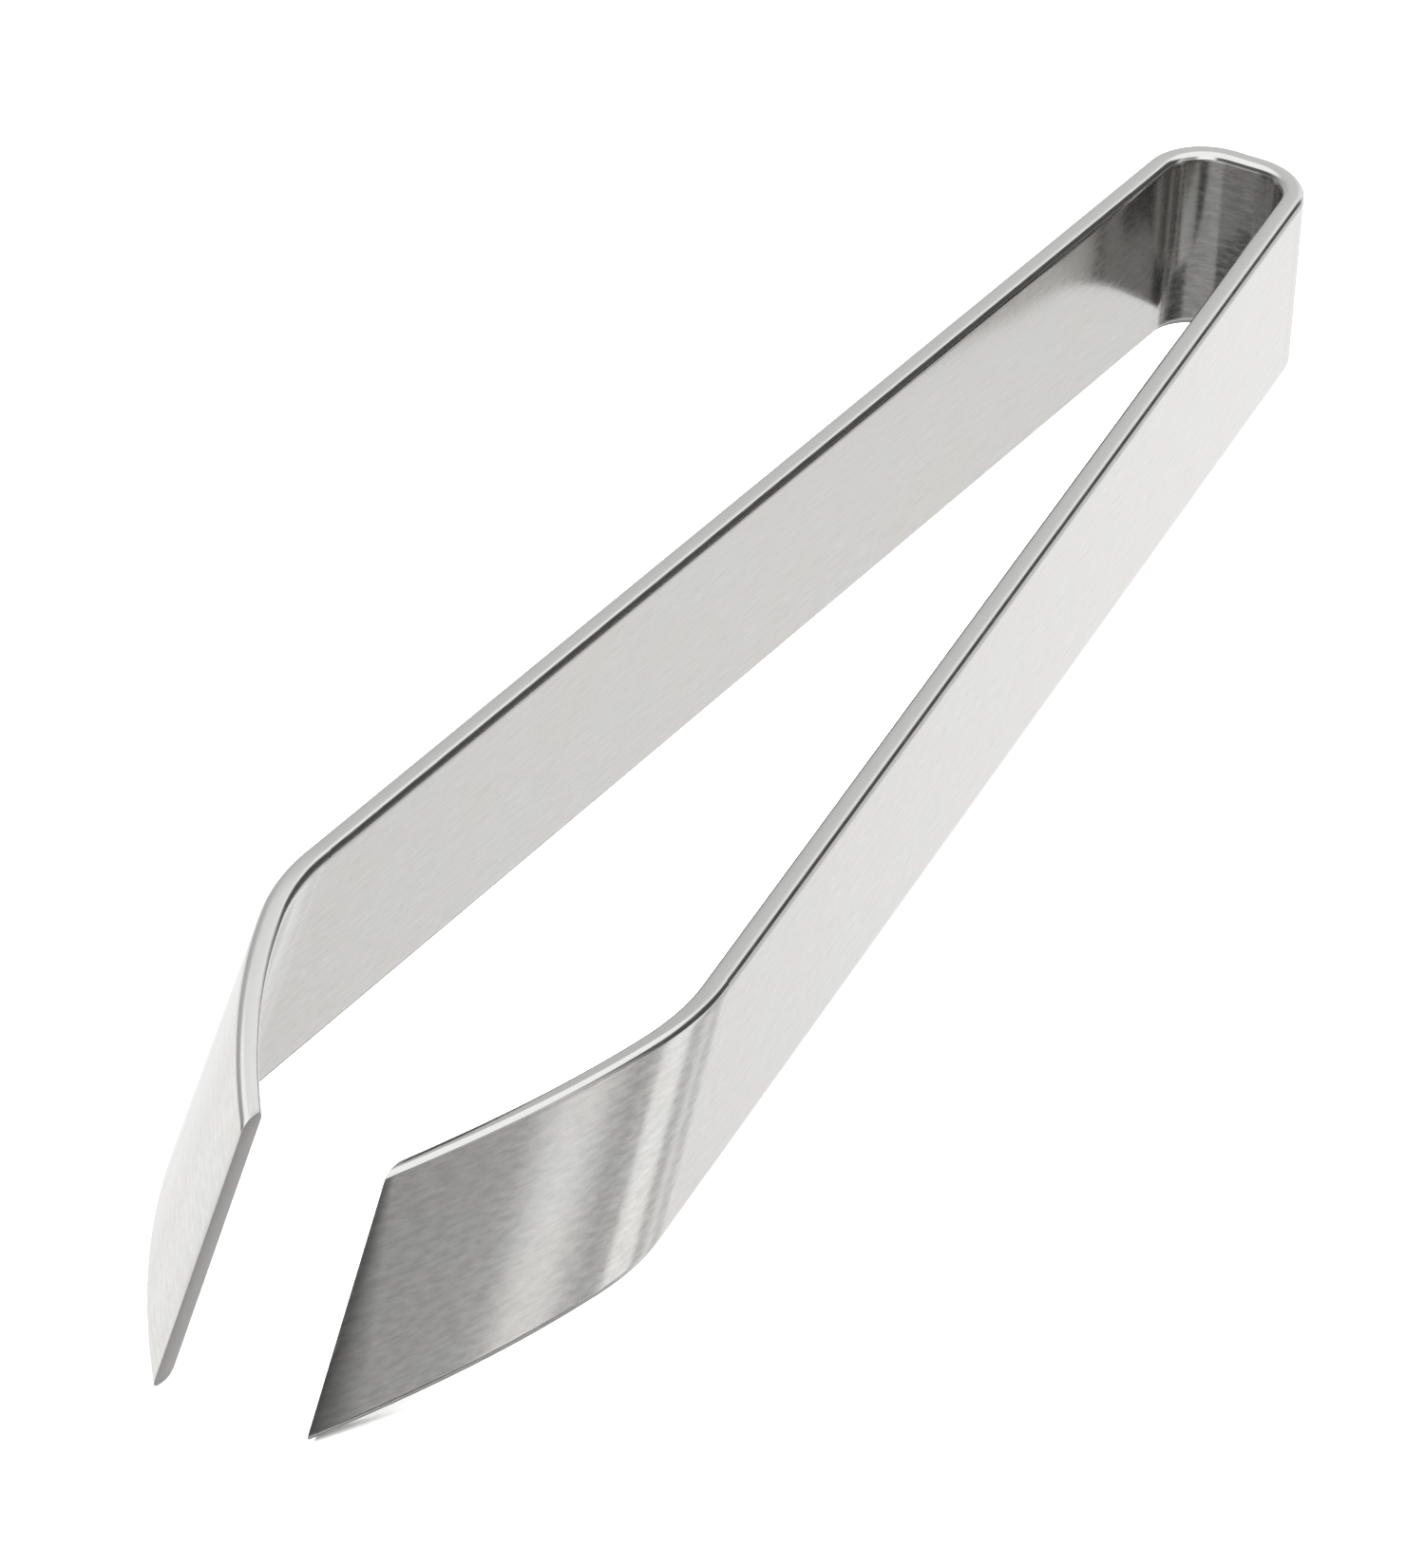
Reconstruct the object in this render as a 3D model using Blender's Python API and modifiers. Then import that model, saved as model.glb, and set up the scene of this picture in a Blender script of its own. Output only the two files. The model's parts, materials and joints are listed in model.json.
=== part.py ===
"""Stamp tongs with angled tips, bent from one strip of stainless spring steel.

The strip stands on its long edge. It turns round a bow at the far end, runs down
two straight arms that spread apart, and bends in towards the middle near each tip.
Those bends lie at a slant across the strip, so the tips end in slanted edges, and
the tips are ground in the plane where they meet when the arms are squeezed.
The steel flexes near the bow, so the strip is divided there and at the two bends.
"""
import math

import bmesh
import bpy
from mathutils import Matrix, Vector

# Strip
strip_width = 0.01125
strip_thickness = 0.0013
edge_bevel = 0.00012

# Bow: a flat back between two quarter bends, measured on the strip's middle surface
bow_back_width = 0.0017
bow_radius = 0.0032
bow_leg_length = 0.0120

# Arms: each leaves the bow at half the spread, and bends in after its straight run
arm_half_spread = math.radians(4.9)
arm_length = 0.0780

# Tip bends: a tight bend that eases into a wide one. Their lines slant across the
# strip, with the lower end nearer the tip
bend_radius = 0.0108
bend_angle = math.radians(25.3)
easing_radius = 0.0320
easing_angle = math.radians(28.6)
bend_slant = math.radians(34.8)

# Squeezing each arm through the closing angle brings the ground tips together
closing_angle = math.radians(2.38)
closed_tip_gap = 0.0001

# Sub-parts that are one strip on the real object stay this far apart
piece_gap = 0.0003

arc_step = math.radians(5.0)
steel_color = (0.66, 0.66, 0.655, 1.0)
steel_roughness = 0.32

# Places worked out from the sizes above
bow_turn = math.pi / 2 - arm_half_spread
shoulder_x = bow_radius * (1 - math.cos(bow_turn))
shoulder_y = bow_back_width / 2 + bow_radius * math.sin(bow_turn)
hinge_x = shoulder_x + bow_leg_length * math.cos(arm_half_spread)
hinge_y = shoulder_y + bow_leg_length * math.sin(arm_half_spread)
closed_heading = arm_half_spread - closing_angle
tip_bends = ((bend_radius, bend_angle), (easing_radius, easing_angle))
bend_arc_length = sum(radius * angle for radius, angle in tip_bends)
blank_lead = strip_width / 2 * math.tan(bend_slant)
tip_overlap = 4 * strip_thickness
cutter_size = 4 * arm_length


def clear_scene():
    for item in list(bpy.data.objects):
        bpy.data.objects.remove(item, do_unlink=True)


def make_collection(name):
    collection = bpy.data.collections.new(name)
    bpy.context.scene.collection.children.link(collection)
    return collection


def steel_material(name):
    material = bpy.data.materials.new(name)
    material.use_nodes = True
    shader = material.node_tree.nodes["Principled BSDF"]
    shader.inputs["Base Color"].default_value = steel_color
    shader.inputs["Metallic"].default_value = 1.0
    shader.inputs["Roughness"].default_value = steel_roughness
    return material


def mesh_object(name, bm, collection):
    mesh = bpy.data.meshes.new(name)
    bm.to_mesh(mesh)
    bm.free()
    item = bpy.data.objects.new(name, mesh)
    collection.objects.link(item)
    return item


def add_empty(name, location, heading, parent, collection):
    empty = bpy.data.objects.new(name, None)
    empty.empty_display_size = strip_width
    empty.location = location
    empty.rotation_euler = (0.0, 0.0, heading)
    empty.parent = parent
    collection.objects.link(empty)
    return empty


def add_thickness(item):
    solidify = item.modifiers.new("strip thickness", "SOLIDIFY")
    solidify.thickness = strip_thickness
    solidify.offset = 0.0
    solidify.use_even_offset = True


def add_edge_bevel(item):
    bevel = item.modifiers.new("deburred edges", "BEVEL")
    bevel.width = edge_bevel
    bevel.segments = 1
    bevel.limit_method = "ANGLE"
    bevel.angle_limit = math.radians(40.0)


def upright_edge(bm, x, y):
    """Make the strip's cross line: one edge across its width, at a place in plan."""
    low = bm.verts.new((x, y, -strip_width / 2))
    high = bm.verts.new((x, y, strip_width / 2))
    return bm.edges.new((low, high))


def extrude_edge(bm, edge, step):
    made = bmesh.ops.extrude_edge_only(bm, edges=[edge])["geom"]
    corners = [part for part in made if isinstance(part, bmesh.types.BMVert)]
    bmesh.ops.translate(bm, verts=corners, vec=step)
    return next(part for part in made if isinstance(part, bmesh.types.BMEdge))


def make_bow(collection, steel, parent):
    """Half of the bow in plan, from the middle of its back to the hinge, mirrored."""
    bm = bmesh.new()
    edge = upright_edge(bm, 0.0, 0.0)
    edge = extrude_edge(bm, edge, Vector((0.0, bow_back_width / 2, 0.0)))
    spun = bmesh.ops.spin(
        bm,
        geom=[edge],
        cent=(bow_radius, bow_back_width / 2, 0.0),
        axis=(0.0, 0.0, 1.0),
        angle=-bow_turn,
        steps=round(bow_turn / arc_step),
        use_duplicate=False,
    )
    edge = next(part for part in spun["geom_last"] if isinstance(part, bmesh.types.BMEdge))
    leg = bow_leg_length - piece_gap / 2
    extrude_edge(bm, edge, leg * Vector((math.cos(arm_half_spread), math.sin(arm_half_spread), 0.0)))
    bmesh.ops.recalc_face_normals(bm, faces=bm.faces)
    bow = mesh_object("spring_bow", bm, collection)
    bow.parent = parent
    mirror = bow.modifiers.new("other half", "MIRROR")
    mirror.use_axis = (False, True, False)
    mirror.use_clip = True
    mirror.merge_threshold = 0.00002
    add_thickness(bow)
    add_edge_bevel(bow)
    bow.data.materials.append(steel)
    return bow


def bend_section(across):
    """Follow the tip bends in section: straight, round each arc in turn, and straight."""
    forward = min(across, 0.0)
    inward = 0.0
    heading = 0.0
    left = max(across, 0.0)
    for radius, angle in tip_bends:
        turned = min(left / radius, angle)
        forward += radius * (math.sin(heading + turned) - math.sin(heading))
        inward += radius * (math.cos(heading) - math.cos(heading + turned))
        heading += turned
        left -= radius * turned
    return forward + left * math.cos(heading), inward + left * math.sin(heading)


def bent_point(u, v, side):
    """Place a point of the flat blank on the bent strip, u past the bend and v up."""
    across = u * math.cos(bend_slant) + v * math.sin(bend_slant)
    along = v * math.cos(bend_slant) - u * math.sin(bend_slant)
    forward, inward = bend_section(across)
    x = forward * math.cos(bend_slant) - along * math.sin(bend_slant)
    z = forward * math.sin(bend_slant) + along * math.cos(bend_slant)
    return Vector((x, -side * inward, z))


def flat_blank(start, end):
    """A flat rectangle of strip between two lengths, measured from the bend's start."""
    bm = bmesh.new()
    bmesh.ops.create_grid(bm, x_segments=1, y_segments=1, size=0.5)
    middle = Matrix.Translation(((start + end) / 2, 0.0, 0.0))
    upright = Matrix.Rotation(math.pi / 2, 4, "X")
    stretch = Matrix.Diagonal((end - start, strip_width, 1.0, 1.0))
    bmesh.ops.transform(bm, matrix=middle @ upright @ stretch, verts=bm.verts)
    return bm


def slanted_cut(bm, distance, keep=None):
    """Cut the blank along a line square to the bend, and keep one side or both."""
    normal = Vector((math.cos(bend_slant), 0.0, math.sin(bend_slant)))
    bmesh.ops.bisect_plane(
        bm,
        geom=bm.verts[:] + bm.edges[:] + bm.faces[:],
        dist=1e-7,
        plane_co=distance * normal,
        plane_no=normal,
        clear_inner=keep == "beyond",
        clear_outer=keep == "before",
    )


def make_arm(name, collection, steel, hinge):
    """The straight run, square at the hinge and slanted where the tip bend starts."""
    bm = flat_blank(piece_gap / 2 - arm_length, blank_lead)
    slanted_cut(bm, -piece_gap / 2, keep="before")
    arm = mesh_object(name, bm, collection)
    arm.data.transform(Matrix.Translation((arm_length, 0.0, 0.0)))
    arm.parent = hinge
    add_thickness(arm)
    add_edge_bevel(arm)
    arm.data.materials.append(steel)
    return arm


def jaw_blank_length():
    """Long enough for the whole end of the blank to pass the plane where the tips meet."""
    half_gap_at_bend = hinge_y + arm_length * math.sin(closed_heading)
    flat = half_gap_at_bend / math.sin(bend_angle + easing_angle - closed_heading)
    return (bend_arc_length + flat) / math.cos(bend_slant) + blank_lead + tip_overlap


def make_jaw(name, side, collection, steel, hinge, cutter):
    """The bent end of the strip, trimmed by the plane where the two tips meet."""
    bm = flat_blank(-blank_lead, jaw_blank_length())
    slanted_cut(bm, piece_gap / 2, keep="beyond")
    reach = 0.0
    for radius, angle in tip_bends:
        steps = round(angle / arc_step)
        for step in range(1, steps + 1):
            slanted_cut(bm, reach + radius * angle * step / steps)
        reach += radius * angle
    for vert in bm.verts:
        vert.co = bent_point(vert.co.x, vert.co.z, side) + Vector((arm_length, 0.0, 0.0))
    jaw = mesh_object(name, bm, collection)
    jaw.parent = hinge
    add_thickness(jaw)
    trim = jaw.modifiers.new("ground tip", "BOOLEAN")
    trim.operation = "DIFFERENCE"
    trim.solver = "EXACT"
    trim.object = cutter
    add_edge_bevel(jaw)
    jaw.data.materials.append(steel)
    return jaw


def make_tip_cutter(name, side, collection, hinge):
    """A block whose face is the plane where the tips meet once the arms are squeezed."""
    bm = bmesh.new()
    bmesh.ops.create_cube(bm, size=cutter_size)
    cutter = mesh_object(name, bm, collection)
    cutter.parent = hinge
    face_y = -side * (hinge_y - closed_tip_gap / 2)
    square_to_arm = Matrix.Rotation(-side * closed_heading, 4, "Z")
    block = Matrix.Translation((0.0, face_y - side * cutter_size / 2, 0.0))
    cutter.matrix_local = square_to_arm @ block
    cutter.hide_render = True
    cutter.display_type = "WIRE"
    return cutter


def stand_on_origin(base, pieces):
    """Move the base so that the origin is under the middle of the box round the pieces."""
    bpy.context.view_layer.update()
    graph = bpy.context.evaluated_depsgraph_get()
    corners = []
    for piece in pieces:
        solid = piece.evaluated_get(graph)
        corners += [solid.matrix_world @ Vector(corner) for corner in solid.bound_box]
    low_x = min(corner.x for corner in corners)
    high_x = max(corner.x for corner in corners)
    low_z = min(corner.z for corner in corners)
    base.location = (-(low_x + high_x) / 2, 0.0, -low_z)


def build():
    clear_scene()
    parts = make_collection("stamp_tongs")
    cutters = make_collection("stamp_tongs_cutters")
    steel = steel_material("satin stainless steel")
    base = add_empty("tongs_base", (0.0, 0.0, 0.0), 0.0, None, parts)
    pieces = [make_bow(parts, steel, base)]
    for side, label in ((1, "right"), (-1, "left")):
        place = (hinge_x, side * hinge_y, 0.0)
        hinge = add_empty(label + "_arm_hinge", place, side * arm_half_spread, base, parts)
        cutter = make_tip_cutter(label + "_tip_cutter", side, cutters, hinge)
        pieces.append(make_arm(label + "_arm", parts, steel, hinge))
        pieces.append(make_jaw(label + "_jaw", side, parts, steel, hinge, cutter))
    stand_on_origin(base, pieces)


if __name__ == "__main__":
    build()
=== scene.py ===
"""Stamp tongs: the finished steel strip and its studio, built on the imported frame."""
import json
import math

import bmesh
import bpy
from bpy.props import FloatProperty, FloatVectorProperty, PointerProperty, StringProperty
from mathutils import Matrix, Vector


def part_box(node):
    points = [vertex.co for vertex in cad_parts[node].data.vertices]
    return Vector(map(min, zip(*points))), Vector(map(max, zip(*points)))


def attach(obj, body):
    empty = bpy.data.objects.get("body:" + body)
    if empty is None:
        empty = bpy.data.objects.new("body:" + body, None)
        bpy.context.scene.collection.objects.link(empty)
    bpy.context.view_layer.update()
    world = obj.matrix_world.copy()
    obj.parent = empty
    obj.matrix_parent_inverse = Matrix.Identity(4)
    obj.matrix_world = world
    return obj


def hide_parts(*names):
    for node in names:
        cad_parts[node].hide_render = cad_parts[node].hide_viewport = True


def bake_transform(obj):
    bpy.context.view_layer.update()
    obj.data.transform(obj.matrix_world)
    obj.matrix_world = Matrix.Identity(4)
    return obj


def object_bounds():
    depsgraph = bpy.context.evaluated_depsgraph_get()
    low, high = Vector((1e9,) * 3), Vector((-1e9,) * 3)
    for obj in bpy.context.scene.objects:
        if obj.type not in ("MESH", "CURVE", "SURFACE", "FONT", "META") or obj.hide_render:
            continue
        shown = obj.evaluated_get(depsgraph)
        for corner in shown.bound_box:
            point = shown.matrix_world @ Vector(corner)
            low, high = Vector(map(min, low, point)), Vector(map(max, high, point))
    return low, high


bl_info = {
    "name": "Stamp Tongs",
    "version": (1, 0, 0),
    "blender": (4, 5, 0),
    "location": "View3D > Sidebar > Tongs",
    "description": "Builds one-piece spring-steel stamp tongs with slanted tips",
    "category": "Add Mesh",
}

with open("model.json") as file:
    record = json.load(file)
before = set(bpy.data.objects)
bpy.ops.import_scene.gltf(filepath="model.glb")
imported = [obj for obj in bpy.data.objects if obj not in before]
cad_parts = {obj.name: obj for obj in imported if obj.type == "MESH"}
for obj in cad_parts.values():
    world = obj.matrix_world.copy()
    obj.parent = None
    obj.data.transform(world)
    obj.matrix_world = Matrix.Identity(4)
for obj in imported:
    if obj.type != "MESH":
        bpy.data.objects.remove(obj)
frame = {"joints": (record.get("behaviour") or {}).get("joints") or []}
CAD_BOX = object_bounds()
BOX_LOW_Z = CAD_BOX[0][2]
BOW_LOW, BOW_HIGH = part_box("spring_bow")
JOINTS = {joint["name"]: joint for joint in frame["joints"]}
HINGE = Vector(JOINTS["right_arm_flex"]["pos_m"])
CLOSING_ANGLE = math.radians(JOINTS["right_arm_flex"]["range_deg"][1])
MM = 0.001

# a Mix node's colour sockets share their names with its other kinds, so they go by number
MIX_SHARE, MIX_FIRST, MIX_SECOND, MIX_RESULT = 0, 6, 7, 2

# how finely the bends are cut before the strip is bent
BOW_BEND_STEPS = 36
ARM_STEPS = 52
TIP_BEND_STEPS = 20
JAW_FLAT_CUTS = 12
JAW_FLAT_STEP = 1.4 * MM
JAW_ROWS = 8

# the pieces' material slots
FACE, EDGE, GROUND = 0, 1, 2

# the strip is split into pieces here: past the bow's bend, and before the tip bend
BOW_SEAM = 0.5 * MM
TIP_SEAM = 0.3 * MM


class StripSizes(bpy.types.PropertyGroup):
    """The strip of steel and the bends it is given."""

    width: FloatProperty(
        name="Strip Width",
        description="Height of the strip as it stands on its long edge",
        default=BOW_HIGH.z - BOW_LOW.z,
        unit="LENGTH",
    )
    thickness: FloatProperty(
        name="Strip Thickness",
        description="Thickness of the spring steel",
        default=1.3 * MM,
        unit="LENGTH",
    )
    edge_radius: FloatProperty(
        name="Edge Radius",
        description="Radius that tumbling and polishing leave on the long edges",
        default=0.42 * MM,
        unit="LENGTH",
    )
    bow_back: FloatProperty(
        name="Bow Back",
        description="Flat width at the back of the bow, on the middle of the strip",
        default=1.7 * MM,
        unit="LENGTH",
    )
    bow_radius: FloatProperty(
        name="Bow Radius",
        description="Radius of each quarter of the bow, on the middle of the strip",
        default=3.2 * MM,
        unit="LENGTH",
    )
    half_spread: FloatProperty(
        name="Half Spread",
        description="Angle between each arm and the plane between the arms",
        default=math.radians(4.9),
        subtype="ANGLE",
    )
    straight_run: FloatProperty(
        name="Straight Run",
        description="Length of each arm from the bow to the start of its tip bend",
        default=90.0 * MM,
        unit="LENGTH",
    )
    bend_radius: FloatProperty(
        name="Tip Bend Radius",
        description="Radius of the tight part of the tip bend, on the middle of the strip",
        default=10.8 * MM,
        unit="LENGTH",
    )
    bend_angle: FloatProperty(
        name="Tip Bend Angle",
        description="Angle that the strip turns through in the tight part of the tip bend",
        default=math.radians(25.3),
        subtype="ANGLE",
    )
    easing_radius: FloatProperty(
        name="Easing Radius",
        description="Radius of the wide part of the tip bend, on the middle of the strip",
        default=32.0 * MM,
        unit="LENGTH",
    )
    easing_angle: FloatProperty(
        name="Easing Angle",
        description="Angle that the strip turns through in the wide part of the tip bend",
        default=math.radians(28.6),
        subtype="ANGLE",
    )
    bend_slant: FloatProperty(
        name="Tip Bend Slant",
        description="Angle between the bend's line and the strip's cross line",
        default=math.radians(34.8),
        subtype="ANGLE",
    )
    tip_gap: FloatProperty(
        name="Closed Tip Gap",
        description="Clearance left between the ground tips when the arms are squeezed",
        default=0.1 * MM,
        unit="LENGTH",
    )


class SteelLook(bpy.types.PropertyGroup):
    """Colours of the steel's three finishes, as sRGB hex values."""

    satin_hex: StringProperty(
        name="Satin Face",
        description="Colour of the brushed broad faces",
        default="#C5C5C3",
    )
    satin_warm_hex: StringProperty(
        name="Satin Face, Warm",
        description="Colour of the faint warm clouds in the brushed faces",
        default="#C6C4C1",
    )
    edge_hex: StringProperty(
        name="Polished Edge",
        description="Colour of the polished long edges",
        default="#CCCCCA",
    )
    ground_hex: StringProperty(
        name="Ground Tip",
        description="Colour of the ground faces of the tips",
        default="#A2A19F",
    )
    # painted shade: share of the satin steel's brightness that the painted shade leaves beside the
    # ground faces
    painted_tip_shade: FloatProperty(
        name="Painted Tip Shade",
        description="Share of the satin steel's brightness left beside the ground faces",
        default=0.22,
        min=0.0,
        max=1.0,
    )


class StudioSetup(bpy.types.PropertyGroup):
    """The camera's place and the studio light."""

    view_azimuth: FloatProperty(
        name="View Azimuth",
        description="Direction of the camera from the tongs, from +X towards +Y",
        default=math.radians(24.77),
        subtype="ANGLE",
    )
    view_elevation: FloatProperty(
        name="View Elevation",
        description="Height of the camera above the horizon, as an angle",
        default=math.radians(33.45),
        subtype="ANGLE",
    )
    view_roll: FloatProperty(
        name="View Roll",
        description="Turn of the camera about its own axis",
        default=math.radians(3.76),
        subtype="ANGLE",
    )
    view_distance: FloatProperty(
        name="View Distance",
        description="Distance of the camera from the point it aims at",
        default=649.3 * MM,
        unit="LENGTH",
    )
    view_target: FloatVectorProperty(
        name="View Target",
        description="Point that the camera aims at",
        default=(2.75 * MM, -2.08 * MM, 5.04 * MM),
        subtype="XYZ",
        unit="LENGTH",
    )
    lens: FloatProperty(
        name="Lens",
        description="Focal length in millimetres, across a 36 mm wide sensor",
        default=310.0,
    )
    floor_hex: StringProperty(
        name="Floor",
        description="Colour of the pale floor",
        default="#F4F4F3",
    )


def linear(hex_code):
    """Turn an sRGB hex value into the linear colour that a shader takes."""
    channels = [int(hex_code[i:i + 2], 16) / 255 for i in (1, 3, 5)]
    curved = [c / 12.92 if c <= 0.04045 else ((c + 0.055) / 1.055) ** 2.4 for c in channels]
    return (*curved, 1.0)


def grey(brightness):
    return (brightness, brightness, brightness, 1.0)


# ---------------------------------------------------------------- materials


def add_node(tree, kind, settings=None, values=None, links=None):
    """Add one node with its settings, its socket values and the sockets that feed it."""
    node = tree.nodes.new(kind)
    for key, value in (settings or {}).items():
        setattr(node, key, value)
    for key, value in (values or {}).items():
        node.inputs[key].default_value = value
    for key, source in (links or {}).items():
        tree.links.new(source, node.inputs[key])
    return node


def new_material(name):
    """A material with only its output node, ready for its shader."""
    material = bpy.data.materials.new(name)
    material.use_nodes = True
    tree = material.node_tree
    tree.nodes.clear()
    return material, tree, add_node(tree, "ShaderNodeOutputMaterial")


def strip_pattern(tree, along_mm, across_mm, detail, offset=0.0):
    """Noise laid out on the flat strip, with the size of its grain in millimetres."""
    uv = add_node(tree, "ShaderNodeUVMap", {"uv_map": "strip"})
    mm_per_uv = 10.0
    scale = (mm_per_uv / along_mm, mm_per_uv / across_mm, 1.0)
    mapping = add_node(
        tree, "ShaderNodeMapping",
        values={"Scale": scale, "Location": (offset, offset, 0.0)},
        links={"Vector": uv.outputs["UV"]},
    )
    return add_node(
        tree, "ShaderNodeTexNoise",
        {"noise_dimensions": "2D"},
        {"Scale": 1.0, "Detail": detail, "Roughness": 0.6},
        {"Vector": mapping.outputs["Vector"]},
    )


def between(tree, source, low, high, from_low=0.3, from_high=0.7):
    """Spread a pattern's middle values over a range."""
    spread = add_node(
        tree, "ShaderNodeMapRange",
        values={"From Min": from_low, "From Max": from_high, "To Min": low, "To Max": high},
        links={"Value": source},
    )
    return spread.outputs["Result"]


def satin_stainless(look, name, with_painted_tip_shade=False, mottle=0.05, roughness=0.11):
    """Spring stainless steel, belt-brushed along the strip and then tumbled.

    The brushing leaves fine broken lines along the strip, which give the grey its grain
    and soften reflections a little, and tumbling leaves faint warm clouds. When asked, the
    face's colour is darkened beside the ground tip: painted shade.
    """
    material, tree, output = new_material(name)
    # brush lines are about 0.02 mm apart, and are drawn at 0.12 mm so that they show
    lines = strip_pattern(tree, 3.0, 0.12, 3.0)
    grain = strip_pattern(tree, 1.0, 0.32, 4.0, offset=3.7)
    clouds = strip_pattern(tree, 9.0, 5.0, 2.0, offset=9.1)
    tone = add_node(
        tree, "ShaderNodeMix", {"data_type": "RGBA"},
        {MIX_FIRST: linear(look.satin_hex), MIX_SECOND: linear(look.satin_warm_hex)},
        {MIX_SHARE: between(tree, clouds.outputs["Fac"], 0.0, 1.0)},
    )
    value = add_node(
        tree, "ShaderNodeMath", {"operation": "MULTIPLY"},
        links={
            0: between(tree, grain.outputs["Fac"], 1.0 - mottle, 1.0 + mottle),
            1: between(tree, lines.outputs["Fac"], 0.96, 1.04),
        },
    ).outputs["Value"]
    # painted shade: the base colour is darkened beside the ground tip, standing in for shade on the
    # steel
    if with_painted_tip_shade:
        distance = add_node(tree, "ShaderNodeAttribute", {"attribute_name": "from_tip"})
        place = add_node(tree, "ShaderNodeTexCoord")
        above = add_node(
            tree, "ShaderNodeSeparateXYZ", links={"Vector": place.outputs["Object"]},
        )
        # the painted shade reaches 2 mm up from the acute lower corner and 0.4 mm at the top
        reach = between(tree, above.outputs["Z"], 2.0, 0.4, BOX_LOW_Z, BOX_LOW_Z + 11 * MM)
        share = add_node(
            tree, "ShaderNodeMath", {"operation": "DIVIDE"},
            links={0: distance.outputs["Fac"], 1: reach},
        )
        fade = between(tree, share.outputs["Value"], look.painted_tip_shade, 1.0, 0.0, 1.0)
        value = add_node(
            tree, "ShaderNodeMath", {"operation": "MULTIPLY"}, links={0: value, 1: fade},
        ).outputs["Value"]
    shade = add_node(
        tree, "ShaderNodeHueSaturation", links={"Value": value, "Color": tone.outputs[MIX_RESULT]},
    )
    height = add_node(
        tree, "ShaderNodeMath", {"operation": "ADD"},
        links={0: lines.outputs["Fac"], 1: grain.outputs["Fac"]},
    )
    bump = add_node(
        tree, "ShaderNodeBump",
        values={"Strength": 0.30, "Distance": 0.004 * MM},
        links={"Height": height.outputs["Value"]},
    )
    tangent = add_node(
        tree, "ShaderNodeTangent", {"direction_type": "UV_MAP", "uv_map": "strip"},
    )
    shader = add_node(
        tree, "ShaderNodeBsdfPrincipled",
        values={"Metallic": 1.0, "Anisotropic": 0.25, "Anisotropic Rotation": 0.25},
        links={
            "Base Color": shade.outputs["Color"],
            "Roughness": between(tree, grain.outputs["Fac"], roughness, roughness + 0.06),
            "Normal": bump.outputs["Normal"],
            "Tangent": tangent.outputs["Tangent"],
        },
    )
    tree.links.new(shader.outputs["BSDF"], output.inputs["Surface"])
    return material


def polished_edge_stainless(look, name):
    """The strip's long edges, rounded and polished by tumbling: nearly a mirror."""
    material, tree, output = new_material(name)
    haze = strip_pattern(tree, 1.6, 0.25, 3.0, offset=5.3)
    bump = add_node(
        tree, "ShaderNodeBump",
        values={"Strength": 0.25, "Distance": 0.004 * MM},
        links={"Height": haze.outputs["Fac"]},
    )
    shader = add_node(
        tree, "ShaderNodeBsdfPrincipled",
        values={"Metallic": 1.0, "Base Color": linear(look.edge_hex)},
        links={
            "Roughness": between(tree, haze.outputs["Fac"], 0.12, 0.20),
            "Normal": bump.outputs["Normal"],
        },
    )
    tree.links.new(shader.outputs["BSDF"], output.inputs["Surface"])
    return material


def ground_tip_stainless(look, name):
    """The tips' meeting faces, ground flat on a fine wheel that leaves lines across them."""
    material, tree, output = new_material(name)
    # wheel marks are about 0.03 mm apart, and are drawn at 0.10 mm so that they show
    place = add_node(tree, "ShaderNodeTexCoord")
    mapping = add_node(
        tree, "ShaderNodeMapping",
        values={"Scale": (1 / (0.10 * MM), 1.0, 1 / (1.2 * MM))},
        links={"Vector": place.outputs["Object"]},
    )
    marks = add_node(
        tree, "ShaderNodeTexNoise",
        values={"Scale": 1.0, "Detail": 3.0, "Roughness": 0.6},
        links={"Vector": mapping.outputs["Vector"]},
    )
    bump = add_node(
        tree, "ShaderNodeBump",
        values={"Strength": 0.4, "Distance": 0.004 * MM},
        links={"Height": marks.outputs["Fac"]},
    )
    shader = add_node(
        tree, "ShaderNodeBsdfPrincipled",
        values={"Metallic": 1.0, "Base Color": linear(look.ground_hex)},
        links={
            "Roughness": between(tree, marks.outputs["Fac"], 0.28, 0.40),
            "Normal": bump.outputs["Normal"],
        },
    )
    tree.links.new(shader.outputs["BSDF"], output.inputs["Surface"])
    return material


def satin_stainless_with_painted_shade(look, name):
    """The same satin steel on the right jaw, with painted shade darkening it beside its ground
    face.
    """
    return satin_stainless(look, name, with_painted_tip_shade=True, mottle=0.10)


def worked_satin_stainless(look, name):
    """The same satin steel where the tight bow has stretched and dulled it."""
    return satin_stainless(look, name, mottle=0.07, roughness=0.14)


def steel_finishes(look, face_maker):
    """The finishes in the order of a piece's material slots, each made once."""
    makers = (face_maker, polished_edge_stainless, ground_tip_stainless)
    return [
        bpy.data.materials.get(make.__name__) or make(look, make.__name__) for make in makers
    ]


# ---------------------------------------------------------------- the bent strip


def shoulder_length(sizes):
    """Length of the strip from the middle of the bow's back to the end of its bend."""
    return sizes.bow_back / 2 + sizes.bow_radius * (math.pi / 2 - sizes.half_spread)


def bow_point(sizes, u, out):
    """Place a point of the bow in plan, u along the strip and out from its middle."""
    turned = max(u - sizes.bow_back / 2, 0.0) / sizes.bow_radius
    flat = min(u, sizes.bow_back / 2)
    x = sizes.bow_radius - (sizes.bow_radius + out) * math.cos(turned)
    return Vector((x, flat + (sizes.bow_radius + out) * math.sin(turned), 0.0))


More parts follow.
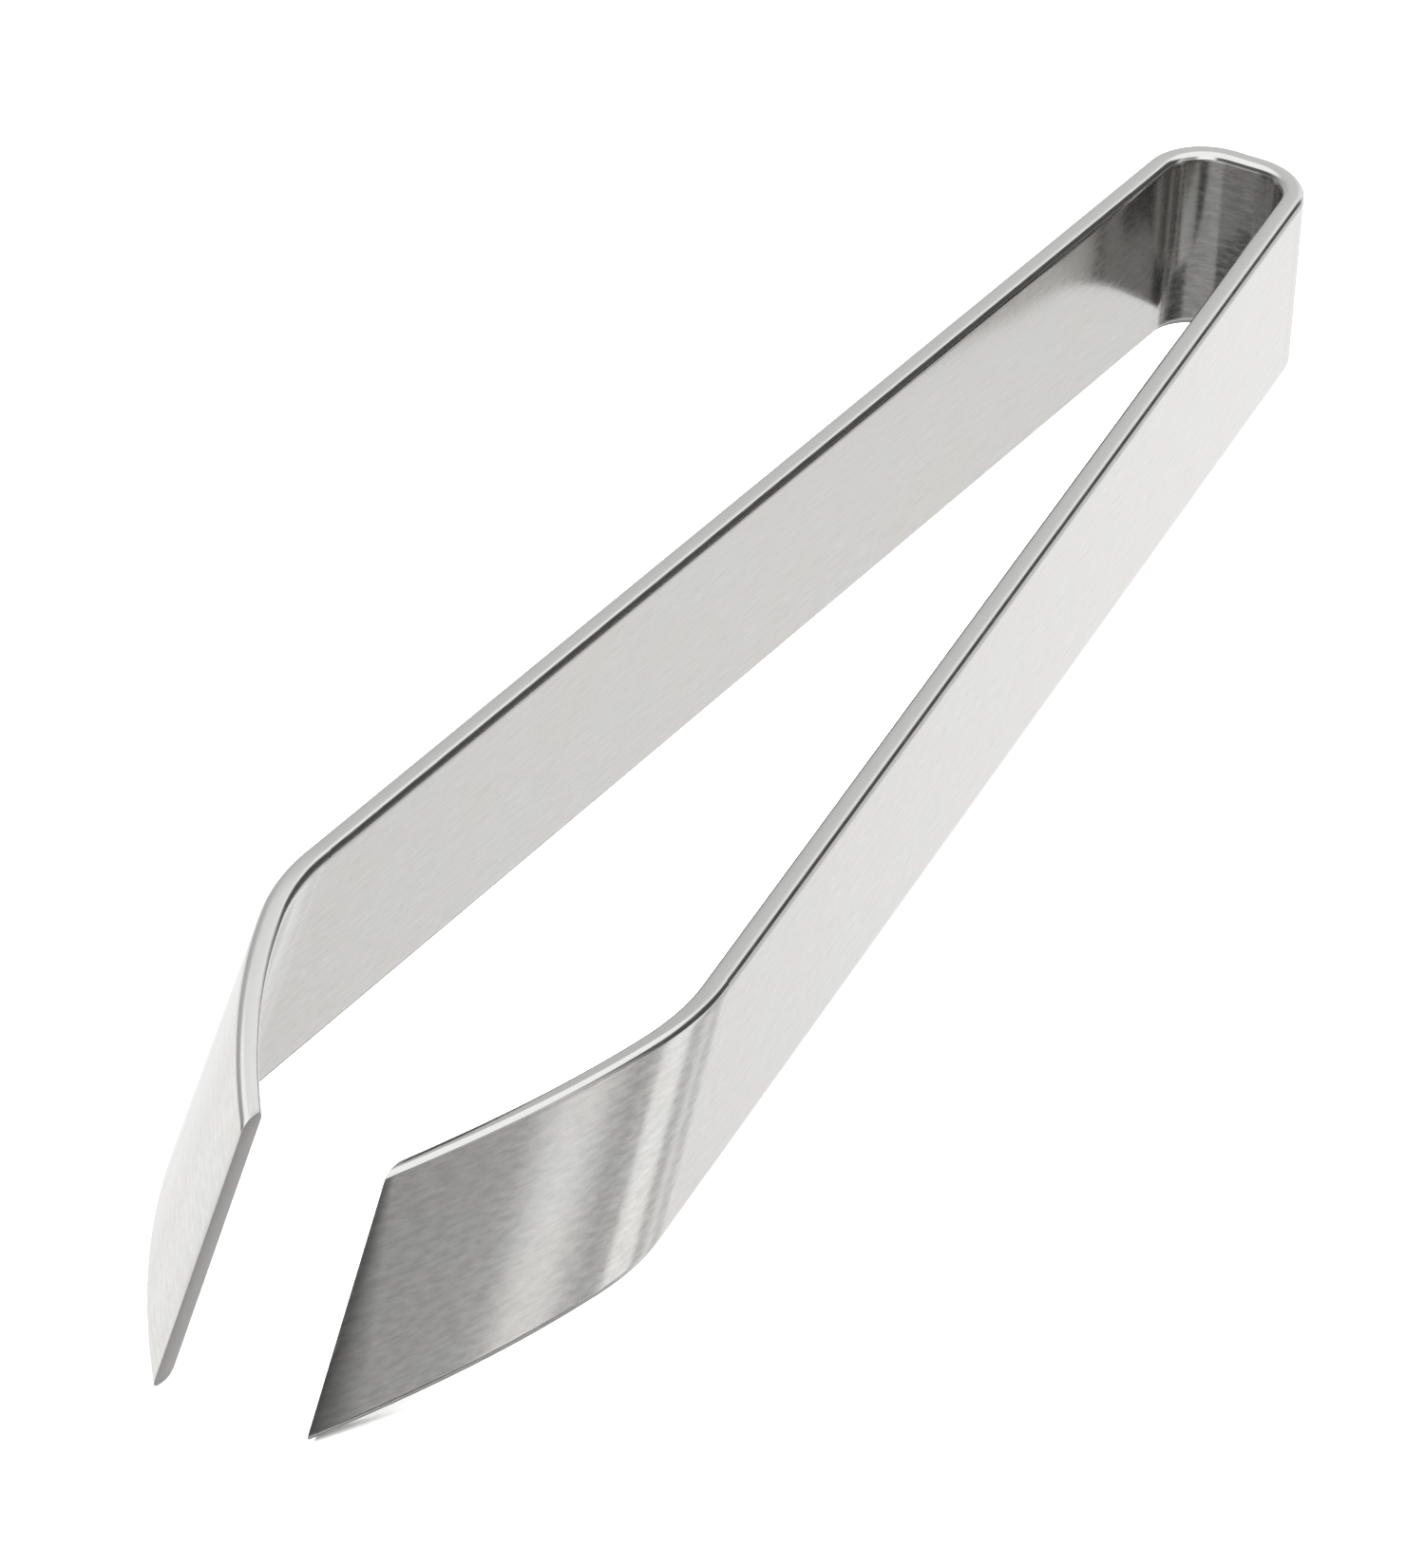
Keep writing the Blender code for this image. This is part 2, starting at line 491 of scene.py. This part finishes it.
def tip_bends(sizes):
    """Radius and angle of the tip bend's tight and wide parts, in order."""
    return (
        (sizes.bend_radius, sizes.bend_angle),
        (sizes.easing_radius, sizes.easing_angle),
    )


def tip_bend_length(sizes):
    return sum(radius * angle for radius, angle in tip_bends(sizes))


def tip_bend_point(sizes, u, out, v):
    """Place a point in the arm's own axes: u past the bend's start, out and up."""
    cos_slant, sin_slant = math.cos(sizes.bend_slant), math.sin(sizes.bend_slant)
    across = u * cos_slant + v * sin_slant
    along = v * cos_slant - u * sin_slant
    forward, inward = min(across, 0.0), 0.0
    heading, left = 0.0, max(across, 0.0)
    for radius, angle in tip_bends(sizes):
        turned = min(left / radius, angle)
        forward += radius * (math.sin(heading + turned) - math.sin(heading))
        inward += radius * (math.cos(heading) - math.cos(heading + turned))
        heading += turned
        left -= radius * turned
    forward += left * math.cos(heading) + out * math.sin(heading)
    inward += left * math.sin(heading) - out * math.cos(heading)
    x = forward * cos_slant - along * sin_slant
    z = forward * sin_slant + along * cos_slant
    return Vector((x, -inward, z))


def strip_point(sizes, u, out, v):
    """Bend a point of the flat strip into its place on the right side of the tongs."""
    bow_middle = Vector((BOW_LOW.x + sizes.thickness / 2, 0.0, (BOW_LOW.z + BOW_HIGH.z) / 2))
    shoulder = shoulder_length(sizes)
    if u <= shoulder:
        return bow_middle + bow_point(sizes, u, out) + Vector((0.0, 0.0, v))
    arm_start = bow_middle + bow_point(sizes, shoulder, 0.0)
    run = Vector((sizes.straight_run, 0.0, 0.0))
    local = run + tip_bend_point(sizes, u - shoulder - sizes.straight_run, out, v)
    return arm_start + Matrix.Rotation(sizes.half_spread, 3, "Z") @ local


def flat_bar(sizes, start, end):
    """A flat length of strip with rounded long edges, from start to end along +X."""
    bm = bmesh.new()
    bmesh.ops.create_cube(bm, size=1.0)
    bmesh.ops.scale(bm, vec=(end - start, sizes.thickness, sizes.width), verts=bm.verts)
    bmesh.ops.translate(bm, vec=((start + end) / 2, 0.0, 0.0), verts=bm.verts)
    long_edges = [e for e in bm.edges if abs(e.verts[0].co.x - e.verts[1].co.x) > sizes.width / 4]
    bmesh.ops.bevel(
        bm,
        geom=long_edges,
        offset=sizes.edge_radius,
        offset_type="OFFSET",
        segments=6,
        affect="EDGES",
        profile=0.5,
        material=-1,
    )
    for face in bm.faces:
        face.material_index = FACE if abs(face.normal.y) > 0.99 else EDGE
    # a line just inside each broad face's border keeps the faces flat up to their edges
    for side in (-1, 1):
        border = side * (sizes.width / 2 - sizes.edge_radius - 0.15 * MM)
        cut(bm, Vector((0.0, 0.0, border)), Vector((0.0, 0.0, 1.0)))
    return bm


def cut(bm, point, normal, remove=None, tolerance=1e-8):
    """Cut through the whole mesh, and remove what lies beyond or before if asked."""
    found = bmesh.ops.bisect_plane(
        bm,
        geom=bm.verts[:] + bm.edges[:] + bm.faces[:],
        dist=tolerance,
        plane_co=point,
        plane_no=normal,
        clear_outer=remove == "beyond",
        clear_inner=remove == "before",
    )
    return [part for part in found["geom_cut"] if isinstance(part, bmesh.types.BMEdge)]


def close_end(bm, edges):
    """Fill a cut end with one ground face."""
    made = bmesh.ops.edgeloop_fill(bm, edges=edges)["faces"]
    for face in made:
        face.material_index = GROUND
    return made


def slant_normal(sizes):
    return Vector((math.cos(sizes.bend_slant), 0.0, math.sin(sizes.bend_slant)))


def square_cuts(bm, start, end, count):
    """Evenly spaced cuts square across the flat strip, leaving out both ends."""
    for step in range(1, count):
        place = start + (end - start) * step / count
        cut(bm, Vector((place, 0.0, 0.0)), Vector((1.0, 0.0, 0.0)))


def lay_out_uv(bm):
    """Record each point's place on the flat strip, in centimetres, before it is bent."""
    layer = bm.loops.layers.uv.new("strip")
    for face in bm.faces:
        for loop in face.loops:
            place = loop.vert.co
            loop[layer].uv = (place.x * 100, (place.z + place.y) * 100)


def bend_bar(bm, sizes):
    """Bend every point of the flat strip, and mirror the part before the bow's middle."""
    for vert in bm.verts:
        u, out, v = vert.co
        placed = strip_point(sizes, abs(u), out, v)
        vert.co = Vector((placed.x, -placed.y if u < 0.0 else placed.y, placed.z))


def finish_piece(name, bm, side, finishes):
    """Turn the bent bar into an object, on the right side or mirrored to the left."""
    if side < 0:
        bmesh.ops.scale(bm, vec=(1.0, -1.0, 1.0), verts=bm.verts)
    bmesh.ops.recalc_face_normals(bm, faces=bm.faces)
    mesh = bpy.data.meshes.new(name)
    bm.to_mesh(mesh)
    bm.free()
    mesh.shade_smooth()
    mesh.set_sharp_from_angle(angle=math.radians(35.0))
    piece = bpy.data.objects.new(name, mesh)
    bpy.context.scene.collection.objects.link(piece)
    for material in finishes:
        mesh.materials.append(material)
    return piece


def seam_length(sizes):
    """Where the bow's piece meets the arm's, just past the bow's bend."""
    return shoulder_length(sizes) + BOW_SEAM


def build_bow(sizes, look):
    """The U-bend, with a short flat at each end where the arms carry on."""
    seam = seam_length(sizes)
    bm = flat_bar(sizes, -seam, seam)
    back = sizes.bow_back / 2
    bend = shoulder_length(sizes) - back
    step = bend / BOW_BEND_STEPS
    for side in (-1, 1):
        square_cuts(bm, side * (back - step), side * (back + bend + step), BOW_BEND_STEPS + 2)
    lay_out_uv(bm)
    bend_bar(bm, sizes)
    finishes = steel_finishes(look, worked_satin_stainless)
    return finish_piece("spring_bow_strip", bm, 1, finishes)


def build_arm(sizes, look, side, label):
    """The straight run, cut to the slant of the tip bend at its far end."""
    start = seam_length(sizes)
    bend_start = shoulder_length(sizes) + sizes.straight_run
    lead = sizes.width / 2 * math.tan(sizes.bend_slant)
    bm = flat_bar(sizes, start, bend_start + 2 * lead)
    point = Vector((bend_start, 0.0, 0.0)) - TIP_SEAM * slant_normal(sizes)
    close_end(bm, cut(bm, point, slant_normal(sizes), "beyond"))
    square_cuts(bm, start, bend_start - 1.2 * lead, ARM_STEPS)
    lay_out_uv(bm)
    bend_bar(bm, sizes)
    finishes = steel_finishes(look, satin_stainless)
    return finish_piece(label + "_arm_strip", bm, side, finishes)


def build_jaw(sizes, look, side, label):
    """The slanted bend and the tip, ground where the two tips meet."""
    bend_start = shoulder_length(sizes) + sizes.straight_run
    lead = sizes.width / 2 * math.tan(sizes.bend_slant)
    bm = flat_bar(sizes, bend_start - 2 * lead, bend_start + 2.5 * tip_bend_length(sizes))
    point = Vector((bend_start, 0.0, 0.0))
    normal = slant_normal(sizes)
    close_end(bm, cut(bm, point - TIP_SEAM * normal, normal, "before"))
    for radius, angle in tip_bends(sizes):
        for step in range(TIP_BEND_STEPS):
            cut(bm, point + normal * radius * angle * step / TIP_BEND_STEPS, normal)
        point += normal * radius * angle
    # the flat past the bends, and then lines along the strip, keep the faces small
    for step in range(JAW_FLAT_CUTS):
        cut(bm, point + normal * step * JAW_FLAT_STEP, normal)
    for step in range(1, JAW_ROWS):
        row = sizes.width * (step / JAW_ROWS - 0.5)
        cut(bm, Vector((0.0, 0.0, row)), Vector((0.0, 0.0, 1.0)))
    lay_out_uv(bm)
    bend_bar(bm, sizes)
    grind_tip(bm, sizes)
    # only the right jaw gets the painted shade beside its ground face
    face_maker = satin_stainless_with_painted_shade if side > 0 else satin_stainless
    return finish_piece(label + "_jaw_strip", bm, side, steel_finishes(look, face_maker))


def grind_tip(bm, sizes):
    """Grind the tip in the plane where it meets the other one when the arms close."""
    opened = Matrix.Rotation(CLOSING_ANGLE, 3, "Z")
    point = HINGE + opened @ Vector((0.0, sizes.tip_gap / 2 - HINGE.y, 0.0))
    beyond = opened @ Vector((0.0, -1.0, 0.0))
    faces = close_end(bm, cut(bm, point, beyond, "beyond"))
    bm.normal_update()
    rim = [edge for face in faces for edge in face.edges]
    made = bmesh.ops.bevel(
        bm,
        geom=rim,
        offset=0.10 * MM,
        offset_type="OFFSET",
        segments=3,
        affect="EDGES",
        profile=0.5,
        material=-1,
        clamp_overlap=True,
    )
    for face in made["faces"]:
        face.material_index = EDGE
    # millimetres from the ground face, for the painted shade beside it
    from_tip = bm.verts.layers.float.new("from_tip")
    for vert in bm.verts:
        vert[from_tip] = (point - vert.co).dot(beyond) / MM


# ---------------------------------------------------------------- operators


class TONGS_OT_bow(bpy.types.Operator):
    """Build the spring bow at the back of the tongs"""

    bl_idname = "tongs.bow"
    bl_label = "Spring Bow"

    def execute(self, context):
        scene = context.scene
        piece = build_bow(scene.tongs_sizes, scene.tongs_look)
        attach(piece, "bow")
        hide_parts("spring_bow")
        return {"FINISHED"}


class TONGS_OT_arms(bpy.types.Operator):
    """Build the two arms as fixed pieces; the real arms flex from the bow as they are squeezed"""

    bl_idname = "tongs.arms"
    bl_label = "Arms"

    def execute(self, context):
        scene = context.scene
        sizes = scene.tongs_sizes
        for side, label in ((1, "right"), (-1, "left")):
            piece = build_arm(sizes, scene.tongs_look, side, label)
            start = strip_point(sizes, seam_length(sizes), 0.0, 0.0)
            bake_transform(piece)
            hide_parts(label + "_arm")
        return {"FINISHED"}


class TONGS_OT_jaws(bpy.types.Operator):
    """Build the two bent ends with their ground tips"""

    bl_idname = "tongs.jaws"
    bl_label = "Jaws"

    def execute(self, context):
        scene = context.scene
        for side, label in ((1, "right"), (-1, "left")):
            piece = build_jaw(scene.tongs_sizes, scene.tongs_look, side, label)
            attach(piece, label + "_side")
            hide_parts(label + "_jaw")
        return {"FINISHED"}


class TONGS_OT_stage(bpy.types.Operator):
    """Build the floor, the studio light and the camera"""

    bl_idname = "tongs.stage"
    bl_label = "Stage"

    def execute(self, context):
        studio = context.scene.tongs_studio
        build_floor(studio)
        build_lights()
        build_camera(studio)
        context.scene.view_settings.view_transform = "Standard"
        return {"FINISHED"}


class TONGS_PT_sidebar(bpy.types.Panel):
    """Sizes, finishes and build buttons"""

    bl_label = "Stamp Tongs"
    bl_idname = "TONGS_PT_sidebar"
    bl_space_type = "VIEW_3D"
    bl_region_type = "UI"
    bl_category = "Tongs"

    def draw(self, context):
        scene = context.scene
        for settings in (scene.tongs_sizes, scene.tongs_look, scene.tongs_studio):
            box = self.layout.box()
            for key in settings.__annotations__:
                box.prop(settings, key)
        for operator in OPERATORS:
            self.layout.operator(operator.bl_idname)


# ---------------------------------------------------------------- stage


def build_floor(studio):
    """A plain pale floor under the tongs."""
    bm = bmesh.new()
    bmesh.ops.create_grid(bm, x_segments=1, y_segments=1, size=2.0)
    mesh = bpy.data.meshes.new("floor")
    bm.to_mesh(mesh)
    bm.free()
    floor = bpy.data.objects.new("floor", mesh)
    bpy.context.scene.collection.objects.link(floor)
    material, tree, output = new_material("matt_white_floor")
    shader = add_node(
        tree, "ShaderNodeBsdfDiffuse", values={"Color": linear(studio.floor_hex)},
    )
    tree.links.new(shader.outputs["BSDF"], output.inputs["Surface"])
    mesh.materials.append(material)
    floor.visible_glossy = False


def area_light(name, place, aim, size, power):
    """A soft box that faces a point."""
    lamp = bpy.data.lights.new(name, "AREA")
    lamp.shape = "RECTANGLE"
    lamp.size, lamp.size_y = size
    lamp.energy = power
    light = bpy.data.objects.new(name, lamp)
    light.location = place
    light.rotation_euler = (Vector(aim) - Vector(place)).to_track_quat("-Z", "Y").to_euler()
    light.visible_camera = False
    bpy.context.scene.collection.objects.link(light)
    return light


# Azimuth from +X in degrees, and brightness, of the white panels that stand round the
# table and of the dark gaps between them: at the foot, at the knee, up to eye level, and
# above it
FOOT_PANELS = (
    (-180, 1.10), (-150, 1.08), (-60, 0.80), (-42, 0.60), (-33, 0.05), (-20, 0.05),
    (-12, 0.34), (55, 0.32), (68, 0.04), (128, 0.05), (136, 0.60), (144, 1.14),
    (149, 1.12), (152, 0.86), (160, 0.88), (164, 1.06), (169, 1.36), (180, 1.10),
)
KNEE_PANELS = (
    (-165, 1.02), (-140, 1.12), (-105, 1.28), (-60, 0.80), (-42, 0.60), (-33, 0.05),
    (-20, 0.05), (-12, 0.34), (55, 0.32), (68, 0.04), (95, 0.05), (112, 0.62),
    (117, 1.32), (131, 1.32), (135, 0.78), (158, 0.82), (166, 1.10), (176, 1.10),
)
LOW_PANELS = (
    (-165, 0.95), (-152, 1.50), (-147, 1.50), (-143, 0.75), (-130, 0.85),
    (-116, 1.30), (-98, 1.30), (-80, 0.60), (-62, 0.60), (-40, 0.90), (40, 1.00),
    (60, 0.75), (70, 0.45), (91, 0.60), (97, 1.15), (102, 1.15), (108, 0.62),
    (112, 0.62), (117, 1.32), (131, 1.32), (135, 0.78), (158, 0.82), (166, 1.10),
    (176, 0.95),
)
HIGH_PANELS = (
    (-180, 1.10), (-160, 0.85), (-135, 0.68), (-110, 0.60), (-60, 0.12), (5, 0.15),
    (15, 1.50), (50, 1.50), (60, 0.40), (75, 0.50), (90, 0.58), (97, 0.90), (104, 0.60),
    (112, 0.10), (158, 0.10), (166, 1.30), (180, 1.10),
)


def panel_ring(tree, around, panels):
    """Panels and gaps round the table as a colour ramp over azimuth."""
    ring = add_node(tree, "ShaderNodeValToRGB", links={"Fac": around})
    stops = ring.color_ramp.elements
    for azimuth, brightness in panels[1:-1]:
        stops.new(azimuth / 360 + 0.5)
    for stop, (azimuth, brightness) in zip(stops, panels):
        stop.position = azimuth / 360 + 0.5
        stop.color = grey(brightness)
    return ring.outputs["Color"]


def plain_band(tree, brightness):
    """A band of the room with the same brightness all round."""
    band = add_node(tree, "ShaderNodeRGB").outputs["Color"]
    band.default_value = grey(brightness)
    return band


def build_lights():
    """A soft box overhead, and rings of white panels between a table and a ceiling."""
    key = area_light("overhead_softbox", (0.0, 0.0, 0.8), (0.0, 0.0, 0.0), (1.2, 1.2), 32.0)
    key.visible_glossy = False
    world = bpy.data.worlds.new("studio_room")
    world.use_nodes = True
    tree = world.node_tree
    tree.nodes.clear()
    place = add_node(tree, "ShaderNodeTexCoord")
    around = add_node(
        tree, "ShaderNodeTexGradient", {"gradient_type": "RADIAL"},
        links={"Vector": place.outputs["Generated"]},
    )
    height = add_node(
        tree, "ShaderNodeSeparateXYZ", links={"Vector": place.outputs["Generated"]},
    )
    room = plain_band(tree, 0.40)
    for layer, start, end in (
        (plain_band(tree, 1.10), -0.72, -0.64),
        (panel_ring(tree, around.outputs["Fac"], FOOT_PANELS), -0.600, -0.578),
        (panel_ring(tree, around.outputs["Fac"], KNEE_PANELS), -0.506, -0.484),
        (panel_ring(tree, around.outputs["Fac"], LOW_PANELS), -0.38, -0.34),
        (panel_ring(tree, around.outputs["Fac"], HIGH_PANELS), -0.02, 0.05),
        (plain_band(tree, 1.40), 0.65, 0.73),
    ):
        share = between(tree, height.outputs["Z"], 0.0, 1.0, start, end)
        mixed = add_node(
            tree, "ShaderNodeMix", {"data_type": "RGBA"},
            links={MIX_SHARE: share, MIX_FIRST: room, MIX_SECOND: layer},
        )
        room = mixed.outputs[MIX_RESULT]
    background = add_node(tree, "ShaderNodeBackground", links={"Color": room})
    output = add_node(tree, "ShaderNodeOutputWorld")
    tree.links.new(background.outputs["Background"], output.inputs["Surface"])
    bpy.context.scene.world = world


def build_camera(studio):
    """A long lens at the viewing angle."""
    camera = bpy.data.objects.new("camera", bpy.data.cameras.new("camera"))
    bpy.context.scene.collection.objects.link(camera)
    flat = math.cos(studio.view_elevation)
    back = Vector((
        flat * math.cos(studio.view_azimuth),
        flat * math.sin(studio.view_azimuth),
        math.sin(studio.view_elevation),
    ))
    camera.location = Vector(studio.view_target) + back * studio.view_distance
    aim = back.to_track_quat("Z", "Y")
    camera.rotation_euler = (aim.to_matrix() @ Matrix.Rotation(studio.view_roll, 3, "Z")).to_euler()
    camera.data.lens = studio.lens
    camera.data.sensor_width = 36.0
    camera.data.sensor_fit = "HORIZONTAL"
    camera.data.clip_start = 0.01
    bpy.context.scene.camera = camera


# ---------------------------------------------------------------- registration


OPERATORS = (TONGS_OT_bow, TONGS_OT_arms, TONGS_OT_jaws, TONGS_OT_stage)
CLASSES = (StripSizes, SteelLook, StudioSetup, *OPERATORS, TONGS_PT_sidebar)


def register():
    for cls in CLASSES:
        bpy.utils.register_class(cls)
    bpy.types.Scene.tongs_sizes = PointerProperty(type=StripSizes)
    bpy.types.Scene.tongs_look = PointerProperty(type=SteelLook)
    bpy.types.Scene.tongs_studio = PointerProperty(type=StudioSetup)


def unregister():
    del bpy.types.Scene.tongs_studio
    del bpy.types.Scene.tongs_look
    del bpy.types.Scene.tongs_sizes
    for cls in reversed(CLASSES):
        bpy.utils.unregister_class(cls)


def main():
    register()
    bpy.ops.tongs.bow()
    bpy.ops.tongs.arms()
    bpy.ops.tongs.jaws()
    bpy.ops.tongs.stage()


if __name__ == "__main__":
    main()
